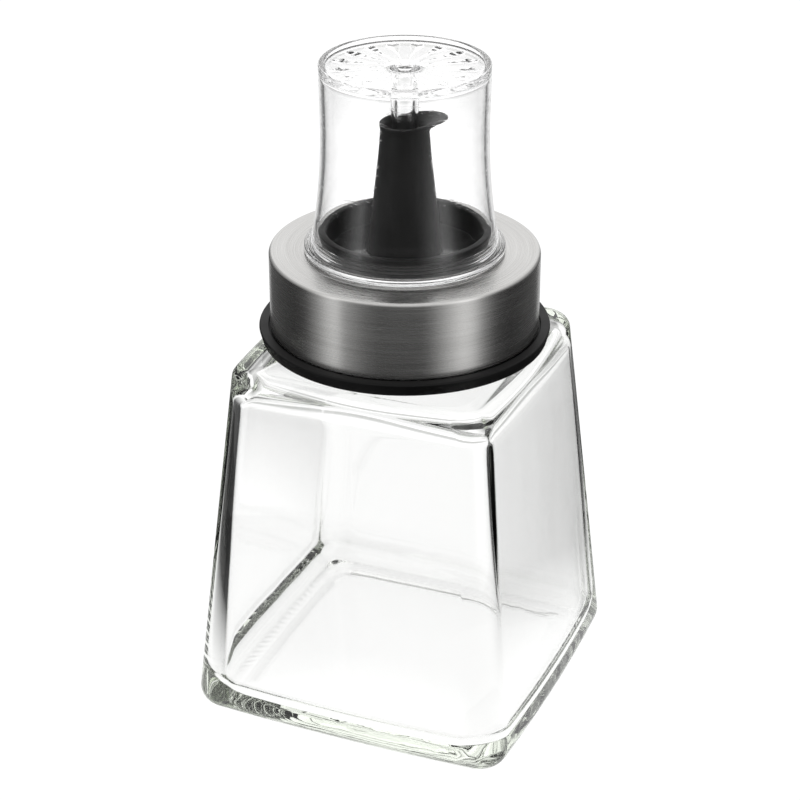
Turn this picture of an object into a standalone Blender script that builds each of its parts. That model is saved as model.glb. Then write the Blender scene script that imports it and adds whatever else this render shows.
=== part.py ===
"""Table cruet for oil or vinegar: a tapered square glass bottle with a screw closure.

Metres, +Z up. The origin is the centre of the base, on the surface the bottle stands on.
The closure turns on the Z axis; its pouring lip points between +X and +Y.
"""

import math

import bmesh
import bpy
from mathutils import Vector

MM = 0.001

# Glass bottle
BASE_WIDTH = 70.8 * MM
SHOULDER_WIDTH = 55.8 * MM
SHOULDER_HEIGHT = 78.3 * MM
BASE_CORNER = 6.7 * MM
SHOULDER_CORNER = 6.2 * MM
FACE_BOW = 0.8 * MM
HEEL_RADIUS = 4.6 * MM
SHOULDER_RADIUS = 2.3 * MM
SIDE_WALL = 2.4 * MM
FLOOR_THICKNESS = 3.5 * MM
FLOOR_FILLET = 5.5 * MM
INNER_SHOULDER = 6.0 * MM
INNER_CORNER_LOW = 8.5 * MM
INNER_CORNER_HIGH = 4.0 * MM
CORNER_EASE = 2.2
PUNT_RISE = 1.4 * MM
BEARING_BAND = 3.6 * MM
NECK_RADIUS = 21.5 * MM
MOUTH_RADIUS = 18.0 * MM
FINISH_HEIGHT = 93.9 * MM

# Screw thread, right-handed, single start
THREAD_PITCH = 4.0 * MM
THREAD_DEPTH = 1.4 * MM
THREAD_CLEARANCE = 0.4 * MM
THREAD_FOOT = 2.2 * MM
THREAD_CREST = 0.9 * MM
GLASS_THREAD_START = 86.2 * MM
GLASS_THREAD_TURNS = 1.4
CAP_THREAD_TURNS = 1.1

# Closure: heights above the underside of its flange
GAP = 0.3 * MM
CAP_SEAT = 80.1 * MM
FLANGE_RADIUS = 29.8 * MM
FLANGE_HEIGHT = 2.6 * MM
SHELL_RECESS = 0.5 * MM
DECK_TOP = 17.9 * MM
DECK_THICKNESS = 2.0 * MM
DECK_HOLE_RADIUS = 16.2 * MM
SHELL_RADIUS = 27.5 * MM
SHELL_WALL = 0.5 * MM
SHELL_TOP = 18.8 * MM
SHELL_EDGE = 1.0 * MM
LINER_THICKNESS = 1.5 * MM
TRAY_RADIUS = 17.2 * MM
TRAY_WALL = 1.65 * MM
TRAY_RIM = 23.4 * MM
TRAY_FLOOR = 18.4 * MM
TRAY_FLOOR_THICKNESS = 1.4 * MM
PLUG_RADIUS = 15.9 * MM
PLUG_DEPTH = 12.4 * MM

# Pouring spout
SPOUT_TOP = 45.9 * MM
SPOUT_FOOT_RADIUS = 7.3 * MM
SPOUT_TIP_RADIUS = 4.9 * MM
SPOUT_BORE = 3.35 * MM
SPOUT_SEAT = 3.05 * MM
LIP_REACH = 3.7 * MM
LIP_HEIGHT = 1.9 * MM
MOUTH_SLOPE = 0.06
LIP_DIRECTION = math.radians(39)
VENT_RADIUS = 1.1 * MM
VENT_DISTANCE = 11.4 * MM

# Dust cover: heights above the top of the steel shell
COVER_TOP = 39.2 * MM
COVER_RIM_RADIUS = 16.95 * MM
COVER_WALL = 1.05 * MM
COVER_RIM_WIDTH = 1.4 * MM
COVER_RIM_HEIGHT = 0.7 * MM
COVER_DISC = 1.2 * MM
COVER_FLANGE_RADIUS = 20.3 * MM
COVER_FLANGE_THICKNESS = 1.2 * MM
PIN_RADIUS = 2.75 * MM
PIN_BORE = 1.6 * MM
PIN_END = 17.1 * MM

TURN_STEPS = 48
CORNER_STEPS = 5
SIDE_STEPS = 4


def clear_scene():
    for obj in list(bpy.data.objects):
        bpy.data.objects.remove(obj, do_unlink=True)


def material(name, colour, roughness, metallic=0.0, transmission=0.0):
    made = bpy.data.materials.new(name)
    made.use_nodes = True
    shader = made.node_tree.nodes["Principled BSDF"]
    shader.inputs["Base Color"].default_value = (*colour, 1.0)
    shader.inputs["Roughness"].default_value = roughness
    shader.inputs["Metallic"].default_value = metallic
    shader.inputs["Transmission Weight"].default_value = transmission
    made.diffuse_color = (*colour, 1.0)
    return made


def empty(name, height, parent=None):
    made = bpy.data.objects.new(name, None)
    made.empty_display_size = 0.02
    made.location.z = height
    made.parent = parent
    bpy.context.scene.collection.objects.link(made)
    return made


def finished(name, bm, look, parent):
    """Turns the mesh into a smooth-shaded object under its parent."""
    bmesh.ops.remove_doubles(bm, verts=bm.verts, dist=0.001 * MM)
    bmesh.ops.recalc_face_normals(bm, faces=bm.faces)
    mesh = bpy.data.meshes.new(name)
    bm.to_mesh(mesh)
    bm.free()
    mesh.shade_smooth()
    mesh.set_sharp_from_angle(angle=math.radians(35))
    if look:
        mesh.materials.append(look)
    made = bpy.data.objects.new(name, mesh)
    made.parent = parent
    bpy.context.scene.collection.objects.link(made)
    return made


def arc(radius, height, size, start, end, steps=4):
    """Points round a profile corner centred at (radius, height), angles in degrees."""
    points = []
    for step in range(steps + 1):
        angle = math.radians(start + (end - start) * step / steps)
        points.append((radius + size * math.cos(angle), height + size * math.sin(angle)))
    return points


def turned(name, profile, look, parent):
    """A solid of revolution about Z; the profile closes on itself unless it starts on the axis."""
    bm = bmesh.new()
    verts = [bm.verts.new((radius, 0, height)) for radius, height in profile]
    edges = [bm.edges.new(pair) for pair in zip(verts, verts[1:])]
    if profile[0][0] > 0:
        edges.append(bm.edges.new((verts[-1], verts[0])))
    bmesh.ops.spin(
        bm, geom=verts + edges, cent=(0, 0, 0), axis=(0, 0, 1), dvec=(0, 0, 0),
        angle=math.tau, steps=TURN_STEPS, use_merge=True, use_duplicate=False,
    )
    return finished(name, bm, look, parent)


def lofted(rings, first_pole=None, last_pole=None):
    """A mesh through rings of equal length, closed by a point at each end or round on itself."""
    bm = bmesh.new()
    loops = [[bm.verts.new(point) for point in ring] for ring in rings]
    count = len(loops[0])
    pairs = list(zip(loops, loops[1:]))
    if first_pole is None:
        pairs.append((loops[-1], loops[0]))
    for low, high in pairs:
        for i in range(count):
            j = (i + 1) % count
            bm.faces.new((low[i], low[j], high[j], high[i]))
    for pole, loop in ((first_pole, loops[0]), (last_pole, loops[-1])):
        if pole is not None:
            centre = bm.verts.new(pole)
            for i in range(count):
                bm.faces.new((centre, loop[i], loop[(i + 1) % count]))
    return bm


def square_ring(half_width, corner, height, bow=FACE_BOW):
    """A square with round corners and slightly bowed sides."""
    points = []
    flat = half_width - corner
    for quarter in range(4):
        side = []
        for step in range(SIDE_STEPS + 1):
            along = 2 * step / SIDE_STEPS - 1
            side.append((half_width + bow * (1 - along * along), flat * along))
        for step in range(1, CORNER_STEPS):
            angle = math.radians(90 * step / CORNER_STEPS)
            side.append((flat + corner * math.cos(angle), flat + corner * math.sin(angle)))
        turn = quarter * math.pi / 2
        for x, y in side:
            points.append(Vector((
                x * math.cos(turn) - y * math.sin(turn),
                x * math.sin(turn) + y * math.cos(turn),
                height,
            )))
    return points


def round_ring(radius, height):
    """A circle whose points match those of square_ring one by one."""
    per_quarter = SIDE_STEPS + CORNER_STEPS
    points = []
    for index in range(4 * per_quarter):
        angle = (index - SIDE_STEPS / 2) * math.tau / (4 * per_quarter)
        points.append(Vector((radius * math.cos(angle), radius * math.sin(angle), height)))
    return points


def blended(first, second, share):
    return [a.lerp(b, share) for a, b in zip(first, second)]


def body_half_width(height):
    share = height / SHOULDER_HEIGHT
    return (BASE_WIDTH + (SHOULDER_WIDTH - BASE_WIDTH) * share) / 2


def body_corner(height):
    share = height / SHOULDER_HEIGHT
    return BASE_CORNER + (SHOULDER_CORNER - BASE_CORNER) * share


def body_ring(height, inset):
    """The bottle's outline at a height, moved in by the inset."""
    corner = max(body_corner(height) - inset, 2.4 * MM)
    return square_ring(body_half_width(height) - inset, corner, height)


def cavity_ring(height, inset=0.0):
    """The cavity's outline at a height: its corners grow softer towards the floor."""
    softness = (1 - height / SHOULDER_HEIGHT) ** CORNER_EASE
    corner = INNER_CORNER_HIGH + (INNER_CORNER_LOW - INNER_CORNER_HIGH) * softness - 0.25 * inset
    return square_ring(body_half_width(height) - SIDE_WALL - inset, corner, height)


def at_height(ring, height):
    return [Vector((point.x, point.y, height)) for point in ring]


def outside_rings():
    """Underside, heel, sides, shoulder, neck and lip of the glass, from the middle of the base."""
    bearing_outer = body_ring(0, HEEL_RADIUS)
    bearing_inner = body_ring(0, HEEL_RADIUS + BEARING_BAND)
    rings = [
        at_height(square_ring(10 * MM, 5 * MM, 0, 0), PUNT_RISE * 0.95),
        at_height(square_ring(19 * MM, 7 * MM, 0), PUNT_RISE * 0.8),
        at_height(body_ring(0, HEEL_RADIUS + BEARING_BAND + 1.2 * MM), PUNT_RISE * 0.45),
        bearing_inner,
        bearing_outer,
    ]
    for step in range(1, 5):
        angle = math.radians(90 * step / 4)
        height = HEEL_RADIUS * (1 - math.cos(angle))
        rings.append(body_ring(height, HEEL_RADIUS * (1 - math.sin(angle))))
    rings.append(body_ring(SHOULDER_HEIGHT * 0.5, 0))
    for step in range(5):
        angle = math.radians(90 * step / 4)
        height = SHOULDER_HEIGHT - SHOULDER_RADIUS * (1 - math.sin(angle))
        rings.append(body_ring(height, SHOULDER_RADIUS * (1 - math.cos(angle))))
    root = round_ring(NECK_RADIUS + 1.5 * MM, SHOULDER_HEIGHT + 0.4 * MM)
    rings.append(blended(rings[-1], root, 0.5))
    rings.append(root)
    rings.append(round_ring(NECK_RADIUS + 0.4 * MM, SHOULDER_HEIGHT + 0.9 * MM))
    rings.append(round_ring(NECK_RADIUS, SHOULDER_HEIGHT + 1.9 * MM))
    lip = 1.1 * MM
    for radius, height in arc(NECK_RADIUS - lip, FINISH_HEIGHT - lip, lip, 0, 90, 3):
        rings.append(round_ring(radius, height))
    return rings


def inside_rings():
    """Bore, inner shoulder, inner sides and rounded floor of the glass, from the mouth down."""
    edge = 0.6 * MM
    rings = []
    for radius, height in arc(MOUTH_RADIUS + edge, FINISH_HEIGHT - edge, edge, 90, 180, 2):
        rings.append(round_ring(radius, height))
    ceiling = SHOULDER_HEIGHT - SIDE_WALL
    swell = 2.0 * MM
    rings.append(round_ring(MOUTH_RADIUS, ceiling + 2.3 * MM))
    rings.append(round_ring(MOUTH_RADIUS + 0.6 * MM, ceiling + 0.9 * MM))
    for angle in map(math.radians, (15, 40, 65, 90)):
        height = ceiling + 0.3 * MM - INNER_SHOULDER * (1 - math.cos(angle))
        bore = round_ring(MOUTH_RADIUS + swell, height)
        rings.append(blended(bore, cavity_ring(height), math.sin(angle)))
    rings.append(cavity_ring(SHOULDER_HEIGHT * 0.6))
    rings.append(cavity_ring(SHOULDER_HEIGHT * 0.35))
    for step in range(6):
        angle = math.radians(90 * step / 5)
        height = FLOOR_THICKNESS + FLOOR_FILLET * (1 - math.sin(angle))
        rings.append(cavity_ring(height, FLOOR_FILLET * (1 - math.cos(angle))))
    rings.append(at_height(square_ring(12 * MM, 6 * MM, 0), FLOOR_THICKNESS + PUNT_RISE * 0.4))
    return rings


def helix_ridge(name, root, crest, start, turns, foot, parent):
    """A thread ridge that fades out at both ends; root lies just inside the wall it grows from."""
    steps = round(turns * 40)
    inward = 1 if crest > root else -1
    fade = 0.12
    sections = []
    for step in range(steps + 1):
        along = step / steps
        angle = math.tau * turns * along
        height = start + THREAD_PITCH * turns * along
        growth = min(1, along / fade, (1 - along) / fade)
        reach = crest - inward * (1 - growth) * (THREAD_DEPTH + 0.1 * MM)
        section = []
        for radius, half in ((root, foot / 2), (reach, THREAD_CREST / 2)):
            section.append((radius, height - half))
            section.append((radius, height + half))
        corners = (section[0], section[2], section[3], section[1])
        sections.append([
            Vector((radius * math.cos(angle), radius * math.sin(angle), level))
            for radius, level in corners
        ])
    bm = bmesh.new()
    loops = [[bm.verts.new(point) for point in section] for section in sections]
    for low, high in zip(loops, loops[1:]):
        for i in range(4):
            bm.faces.new((low[i], low[(i + 1) % 4], high[(i + 1) % 4], high[i]))
    bm.faces.new(loops[0])
    bm.faces.new(loops[-1])
    made = finished(name, bm, None, parent)
    as_helper(made)
    return made


def as_helper(obj):
    obj.hide_render = True
    obj.display_type = "WIRE"


def boolean(target, tool, operation):
    step = target.modifiers.new(tool.name, "BOOLEAN")
    step.operation = operation
    step.solver = "EXACT"
    step.object = tool


def make_bottle(parent):
    look = material("clear_glass", (0.93, 0.97, 0.93), 0.02, transmission=1.0)
    rings = outside_rings() + inside_rings()
    punt = Vector((0, 0, PUNT_RISE))
    floor = Vector((0, 0, FLOOR_THICKNESS + PUNT_RISE * 0.5))
    bottle = finished("glass_bottle", lofted(rings, punt, floor), look, parent)
    thread = helix_ridge(
        "glass_thread", NECK_RADIUS - 0.3 * MM, NECK_RADIUS + THREAD_DEPTH,
        GLASS_THREAD_START, GLASS_THREAD_TURNS, THREAD_FOOT, parent,
    )
    boolean(bottle, thread, "UNION")


def make_liner(parent):
    look = material("seal_white", (0.82, 0.81, 0.78), 0.55)
    outer = NECK_RADIUS + THREAD_DEPTH
    inner = PLUG_RADIUS + 1.3 * MM
    profile = [(outer, 0), (outer, LINER_THICKNESS), (inner, LINER_THICKNESS), (inner, 0)]
    liner = turned("sealing_liner", profile, look, parent)
    liner.location.z = FINISH_HEIGHT + GAP


def make_inner_cap(parent, look):
    skirt_inner = NECK_RADIUS + THREAD_DEPTH + THREAD_CLEARANCE
    seat = SHELL_RADIUS - SHELL_WALL - GAP
    waist = seat - 1.3 * MM
    under_deck = DECK_TOP - DECK_THICKNESS
    profile = [
        (skirt_inner + 0.6 * MM, 0), (FLANGE_RADIUS - 0.9 * MM, 0), (FLANGE_RADIUS - 0.5 * MM, 0.35 * MM),
        (FLANGE_RADIUS, FLANGE_HEIGHT - 0.4 * MM), (FLANGE_RADIUS - 0.4 * MM, FLANGE_HEIGHT),
        (SHELL_RADIUS + GAP, FLANGE_HEIGHT), (SHELL_RADIUS + GAP, FLANGE_HEIGHT - SHELL_RECESS),
        (seat, FLANGE_HEIGHT - SHELL_RECESS), (seat, 5.6 * MM), (waist, 6.4 * MM), (waist, 13.8 * MM),
        (seat, 14.6 * MM), (seat, DECK_TOP - 0.8 * MM), (seat - 0.8 * MM, DECK_TOP),
        (DECK_HOLE_RADIUS, DECK_TOP), (DECK_HOLE_RADIUS, under_deck),
        (skirt_inner, under_deck), (skirt_inner, 0.7 * MM),
    ]
    cap = turned("inner_cap", profile, look, parent)
    start = GLASS_THREAD_START - THREAD_PITCH / 2 + 0.25 * MM - CAP_SEAT
    thread = helix_ridge(
        "cap_thread", skirt_inner + 0.3 * MM, skirt_inner - THREAD_DEPTH,
        start, CAP_THREAD_TURNS, THREAD_FOOT, parent,
    )
    boolean(cap, thread, "UNION")


def make_shell(parent):
    look = material("brushed_steel", (0.62, 0.61, 0.59), 0.28, metallic=1.0)
    inner = SHELL_RADIUS - SHELL_WALL
    hole = TRAY_RADIUS + GAP
    bottom = FLANGE_HEIGHT - SHELL_RECESS + GAP
    under = SHELL_TOP - SHELL_WALL
    profile = [(inner, bottom), (SHELL_RADIUS, bottom)]
    profile += arc(SHELL_RADIUS - SHELL_EDGE, SHELL_TOP - SHELL_EDGE, SHELL_EDGE, 0, 90)
    profile += [(hole, SHELL_TOP), (hole, under)]
    profile += arc(inner - 0.5 * MM, under - 0.5 * MM, 0.5 * MM, 90, 0, 2)
    turned("steel_shell", profile, look, parent)


def spout_ring(radius, height, reach=0.0, slope=0.0):
    """A circle drawn out towards the pouring lip by the reach, and rising that way by the slope."""
    points = []
    for step in range(TURN_STEPS):
        angle = math.tau * step / TURN_STEPS
        towards_lip = math.cos(angle - LIP_DIRECTION)
        distance = radius + reach * max(0.0, towards_lip) ** 4
        rise = slope * distance * towards_lip
        points.append(Vector((distance * math.cos(angle), distance * math.sin(angle), height + rise)))
    return points


def spout_outside():
    """The column of the spout from its tip down to the tray, flaring into the lip."""
    rings = []
    for drop, share in ((0, 1), (0.16, 0.97), (0.4, 0.6), (0.64, 0.2), (1, 0)):
        radius = SPOUT_TIP_RADIUS + 0.15 * MM * share
        height = SPOUT_TOP - LIP_HEIGHT * drop
        rings.append(spout_ring(radius, height, LIP_REACH * share, MOUTH_SLOPE))
    rings.append(spout_ring(SPOUT_TIP_RADIUS + 0.25 * MM, SPOUT_TOP - 5 * MM))
    rings.append(spout_ring(SPOUT_TIP_RADIUS + 1.4 * MM, SPOUT_TOP - 16 * MM))
    rings.append(spout_ring(SPOUT_FOOT_RADIUS, TRAY_FLOOR + 0.25 * MM))
    rings.append(spout_ring(SPOUT_FOOT_RADIUS + 0.25 * MM, TRAY_FLOOR))
    return rings


def tray_rings():
    """Tray floor, ring wall, and the plug below it that snaps into the inner cap."""
    inner = TRAY_RADIUS - TRAY_WALL
    underside = TRAY_FLOOR - TRAY_FLOOR_THICKNESS
    profile = [
        (inner - 0.3 * MM, TRAY_FLOOR), (inner, TRAY_FLOOR + 0.3 * MM), (inner, TRAY_RIM - 0.5 * MM),
        (inner + 0.4 * MM, TRAY_RIM), (TRAY_RADIUS - 0.3 * MM, TRAY_RIM),
        (TRAY_RADIUS, TRAY_RIM - 0.3 * MM), (TRAY_RADIUS, DECK_TOP + GAP),
        (PLUG_RADIUS, DECK_TOP + GAP), (PLUG_RADIUS, 15.5 * MM), (PLUG_RADIUS + 0.7 * MM, 15.1 * MM),
        (PLUG_RADIUS + 0.7 * MM, 14.6 * MM), (PLUG_RADIUS, 13.9 * MM),
        (PLUG_RADIUS - 0.3 * MM, PLUG_DEPTH), (PLUG_RADIUS - 1.4 * MM, PLUG_DEPTH),
        (PLUG_RADIUS - 1.5 * MM, underside), (SPOUT_BORE + 1.6 * MM, underside),
    ]
    return [spout_ring(radius, height) for radius, height in profile]


def spout_inside():
    """The bore from the tray floor up through the seat to the scooped mouth."""
    rings = [
        spout_ring(SPOUT_BORE + 1.2 * MM, TRAY_FLOOR - TRAY_FLOOR_THICKNESS),
        spout_ring(SPOUT_BORE + 0.9 * MM, TRAY_FLOOR + 3 * MM),
        spout_ring(SPOUT_SEAT, SPOUT_TOP - 8.5 * MM),
        spout_ring(SPOUT_SEAT, SPOUT_TOP - 6.0 * MM),
        spout_ring(SPOUT_BORE, SPOUT_TOP - 4.4 * MM),
        spout_ring(SPOUT_BORE + 0.15 * MM, SPOUT_TOP - 2.2 * MM, 0.2 * MM),
        spout_ring(SPOUT_BORE + 0.35 * MM, SPOUT_TOP - 1.2 * MM, 0.7 * MM, MOUTH_SLOPE),
        spout_ring(SPOUT_BORE + 0.6 * MM, SPOUT_TOP - 0.55 * MM, 2.3 * MM, MOUTH_SLOPE),
        spout_ring(SPOUT_TIP_RADIUS - 0.5 * MM, SPOUT_TOP, LIP_REACH - 0.15 * MM, MOUTH_SLOPE),
    ]
    return rings


def make_spout(parent, look):
    rings = spout_outside() + tray_rings() + spout_inside()
    spout = finished("pour_spout", lofted(rings), look, parent)
    bm = bmesh.new()
    bmesh.ops.create_cone(
        bm, cap_ends=True, segments=16, radius1=VENT_RADIUS, radius2=VENT_RADIUS, depth=6 * MM,
    )
    cutter = finished("vent_cutter", bm, None, parent)
    cutter.location = (
        -VENT_DISTANCE * math.cos(LIP_DIRECTION), -VENT_DISTANCE * math.sin(LIP_DIRECTION), TRAY_FLOOR,
    )
    as_helper(cutter)
    boolean(spout, cutter, "DIFFERENCE")


def cover_outside():
    """Rim, waisted wall and foot flange of the cover, from the middle of its top."""
    disc = COVER_TOP - COVER_RIM_HEIGHT
    rim_inner = COVER_RIM_RADIUS - COVER_RIM_WIDTH
    foot = GAP + COVER_FLANGE_THICKNESS
    profile = [(0, disc - 0.7 * MM), (1.5 * MM, disc - 0.7 * MM), (1.85 * MM, disc)]
    profile += [(rim_inner - 0.1 * MM, disc), (rim_inner + 0.25 * MM, COVER_TOP - 0.15 * MM)]
    profile += arc(COVER_RIM_RADIUS - 0.45 * MM, COVER_TOP - 0.45 * MM, 0.45 * MM, 90, 0, 2)
    profile += [
        (COVER_RIM_RADIUS - 0.1 * MM, COVER_TOP - 8 * MM), (COVER_RIM_RADIUS - 0.2 * MM, COVER_TOP - 14 * MM),
        (COVER_RIM_RADIUS - 0.1 * MM, COVER_TOP - 20 * MM), (COVER_RIM_RADIUS + 0.35 * MM, COVER_TOP - 26 * MM),
        (COVER_RIM_RADIUS + 0.95 * MM, COVER_TOP - 31 * MM), (COVER_RIM_RADIUS + 1.35 * MM, COVER_TOP - 34.6 * MM),
        (COVER_RIM_RADIUS + 1.7 * MM, foot + 0.6 * MM), (COVER_RIM_RADIUS + 2.2 * MM, foot),
        (COVER_FLANGE_RADIUS - 0.3 * MM, foot), (COVER_FLANGE_RADIUS, foot - 0.3 * MM),
        (COVER_FLANGE_RADIUS, GAP + 0.3 * MM), (COVER_FLANGE_RADIUS - 0.3 * MM, GAP),
    ]
    return profile


def cover_inside():
    """Inner wall, underside of the top and the hollow stopper pin, ending on the axis."""
    inner = COVER_RIM_RADIUS - COVER_WALL
    under = COVER_TOP - COVER_RIM_HEIGHT - COVER_DISC
    clear = TRAY_RADIUS + GAP + 0.05 * MM
    above_tray = TRAY_RIM - SHELL_TOP + GAP
    return [
        (clear + 0.5 * MM, GAP), (clear, GAP + 0.6 * MM), (clear, above_tray),
        (inner + 1.05 * MM, COVER_TOP - 32 * MM), (inner + 0.4 * MM, COVER_TOP - 26 * MM),
        (inner, COVER_TOP - 20 * MM), (inner - 0.1 * MM, COVER_TOP - 14 * MM),
        (inner, COVER_TOP - 8 * MM), (inner - 0.1 * MM, under - 0.5 * MM), (inner - 0.6 * MM, under),
        (PIN_RADIUS + 1.6 * MM, under), (PIN_RADIUS + 0.5 * MM, under - 0.4 * MM),
        (PIN_RADIUS, under - 1.4 * MM), (PIN_RADIUS - 0.05 * MM, PIN_END + 0.8 * MM),
        (PIN_RADIUS - 0.5 * MM, PIN_END), (PIN_BORE + 0.1 * MM, PIN_END), (PIN_BORE, PIN_END + 0.4 * MM),
        (PIN_BORE - 0.1 * MM, under - 1.2 * MM), (PIN_BORE - 0.6 * MM, under - 0.6 * MM),
        (0, under - 0.6 * MM),
    ]


def make_cover(parent):
    look = material("clear_plastic", (0.96, 0.97, 0.97), 0.04, transmission=1.0)
    turned("dust_cover", cover_outside() + cover_inside(), look, parent)


def main():
    clear_scene()
    cruet = empty("cruet", 0)
    cap_axis = empty("cap_axis", CAP_SEAT, cruet)
    cover_axis = empty("cover_axis", SHELL_TOP, cap_axis)
    black = material("black_plastic", (0.014, 0.014, 0.015), 0.34)
    make_bottle(cruet)
    make_liner(cruet)
    make_inner_cap(cap_axis, black)
    make_shell(cap_axis)
    make_spout(cap_axis, black)
    make_cover(cover_axis)


main()
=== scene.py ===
"""Looks of the table cruet: fine meshes, materials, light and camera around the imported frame.

Metres, +Z up. The closure turns on the Z axis, and heights are above the surface it all stands on.
"""

import math

import bmesh
import bpy
import numpy as np
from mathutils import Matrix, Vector, noise


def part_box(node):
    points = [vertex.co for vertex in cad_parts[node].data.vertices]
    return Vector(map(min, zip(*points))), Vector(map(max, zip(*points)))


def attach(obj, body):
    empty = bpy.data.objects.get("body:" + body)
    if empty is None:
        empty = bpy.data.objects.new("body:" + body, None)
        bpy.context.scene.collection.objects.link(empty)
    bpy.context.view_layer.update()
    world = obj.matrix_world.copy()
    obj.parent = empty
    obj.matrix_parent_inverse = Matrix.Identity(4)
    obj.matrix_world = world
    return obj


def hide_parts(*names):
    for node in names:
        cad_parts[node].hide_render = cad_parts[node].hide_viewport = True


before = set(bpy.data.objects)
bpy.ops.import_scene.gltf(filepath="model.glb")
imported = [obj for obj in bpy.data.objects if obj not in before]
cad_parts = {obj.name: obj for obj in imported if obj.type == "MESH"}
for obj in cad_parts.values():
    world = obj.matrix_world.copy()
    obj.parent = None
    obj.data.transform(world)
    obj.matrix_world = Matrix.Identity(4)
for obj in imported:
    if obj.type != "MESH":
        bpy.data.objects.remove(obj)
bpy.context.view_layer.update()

MM = 0.001
SCENE = bpy.context.scene

# Camera, seen from the closure's axis
CAMERA_AZIMUTH = math.radians(22.63)
CAMERA_DISTANCE = 426.3 * MM
CAMERA_HEIGHT = 283.2 * MM
CAMERA_PITCH = math.radians(27.18)
CAMERA_SWING = math.radians(0.13)
CAMERA_LENS = 103.3

# Light tent and floor
FLOOR_RADIUS = 6.0
WHITE = 1.06
THROUGH_GLASS = 1.05
THROUGH_COVER = 1.3
OVERHEAD = 1.3
FAR_SHADE = 0.55
SKY_SHARE = 0.8
TENT_RADIUS = 170 * MM
TENT_HEIGHT = 330 * MM

# Light of the panels by degrees round from the camera, to its right; metal and plastic mirror these
PANELS = (
    (-180, 0.8), (-155, 0.75), (-147, 0.14), (-97, 0.05), (-84, 0.1), (-72, 0.45), (-63, 0.95), (-55, 1.25),
    (-48, 0.55), (-31, 0.22), (-20, 0.13), (14, 0.13), (22, 0.3), (33, 0.75), (46, 1.35), (54, 1.15),
    (64, 0.4), (75, 0.1), (92, 0.05), (142, 0.14), (150, 0.75), (180, 0.8),
)
# The same for what clear glass looks through to: white, with dark flags at the sides
FLAGS = (
    (-180, 1), (-104, 1), (-88, 0.2), (-70, 0.13), (-44, 0.13), (-26, 0.25), (-10, 1), (42, 1), (57, 0.34),
    (70, 0.14), (100, 0.14), (118, 0.34), (134, 1), (180, 1),
)
# Green painted into the dark flags, which only clear pieces look through to: the glass shows it as green in
# its dark strips
PAINTED_FLAG_GREEN = (0.84, 1.0, 0.66)
# Where the far floor behind the object is shaded, so that the facets of the cover's top show
BEHIND = ((-180, 1), (-170, 1), (-160, 0), (160, 0), (170, 1), (180, 1))

# Places of the pieces, from the frame
GLASS_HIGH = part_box("glass_bottle")[1]
LINER_LOW, LINER_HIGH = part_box("sealing_liner")
CAP_LOW, CAP_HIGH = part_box("inner_cap")
SHELL_LOW, SHELL_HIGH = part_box("steel_shell")
SPOUT_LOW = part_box("pour_spout")[0]
COVER_LOW, COVER_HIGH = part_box("dust_cover")

# Glass bottle
FACE_BOW = 0.8 * MM
BASE_HALF = GLASS_HIGH.x - FACE_BOW + 0.41 * MM
SHOULDER_HALF = 27.9 * MM
SHOULDER_HEIGHT = 78.3 * MM
BASE_CORNER = 6.7 * MM
SHOULDER_CORNER = 6.2 * MM
HEEL_RADIUS = 4.6 * MM
SHOULDER_RADIUS = 2.3 * MM
SIDE_WALL = 2.4 * MM
FLOOR_THICKNESS = 3.5 * MM
FLOOR_FILLET = 5.5 * MM
INNER_CORNER_LOW = 8.5 * MM
INNER_CORNER_HIGH = 4.0 * MM
CORNER_EASE = 2.2
INNER_SHOULDER = 6.0 * MM
PUNT_RISE = 1.4 * MM
BEARING_BAND = 3.6 * MM
NECK_RADIUS = 21.5 * MM
MOUTH_RADIUS = 18.0 * MM
FINISH_HEIGHT = GLASS_HIGH.z
STIPPLES = 112
STIPPLE_HEIGHT = 0.05 * MM
WALL_WAVES = 0.07 * MM
SIDE_POINTS = 56
CORNER_POINTS = 44

# Screw thread
THREAD_PITCH = 4.0 * MM
THREAD_DEPTH = 1.4 * MM
THREAD_CLEARANCE = 0.4 * MM
THREAD_FOOT = 2.2 * MM
GLASS_THREAD_START = 86.2 * MM
GLASS_THREAD_TURNS = 1.4
CAP_THREAD_TURNS = 1.1

# Closure
GAP = 0.3 * MM
FLANGE_TOP = CAP_LOW.z + 2.6 * MM
SHELL_WALL = 0.5 * MM
SHELL_EDGE = 0.7 * MM
TRAY_RADIUS = 17.2 * MM
TRAY_WALL = 1.65 * MM
TRAY_RIM = CAP_LOW.z + 23.4 * MM
TRAY_FLOOR = CAP_LOW.z + 18.4 * MM
PLUG_RADIUS = 15.9 * MM

# Pouring spout
SPOUT_TOP = CAP_LOW.z + 45.9 * MM
SPOUT_FOOT_RADIUS = 7.3 * MM
SPOUT_TIP_RADIUS = 4.9 * MM
SPOUT_BORE = 3.35 * MM
SPOUT_SEAT = 3.05 * MM
LIP_REACH = 3.7 * MM
LIP_HEIGHT = 1.9 * MM
MOUTH_SLOPE = 0.06
LIP_DIRECTION = math.radians(39)
VENT_RADIUS = 1.1 * MM
VENT_DISTANCE = 11.4 * MM

# Dust cover
COVER_RIM_RADIUS = 16.95 * MM
COVER_WALL = 1.05 * MM
RIM_WIDTH = 1.4 * MM
RIM_HEIGHT = 0.7 * MM
DISC_THICKNESS = 1.2 * MM
COVER_FOOT = 1.2 * MM
PIN_RADIUS = 2.75 * MM
PIN_BORE = 1.6 * MM
PIN_END = SHELL_HIGH.z + 17.1 * MM
FACETS = 16
FOOT_BEADS = 2
FOOT_RIBS = (2.2 * MM, 1.5 * MM, 0.8 * MM)
FACET_SLOPE = 0.22

ROUND_POINTS = 256


# ---------------------------------------------------------------- meshes

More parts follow.
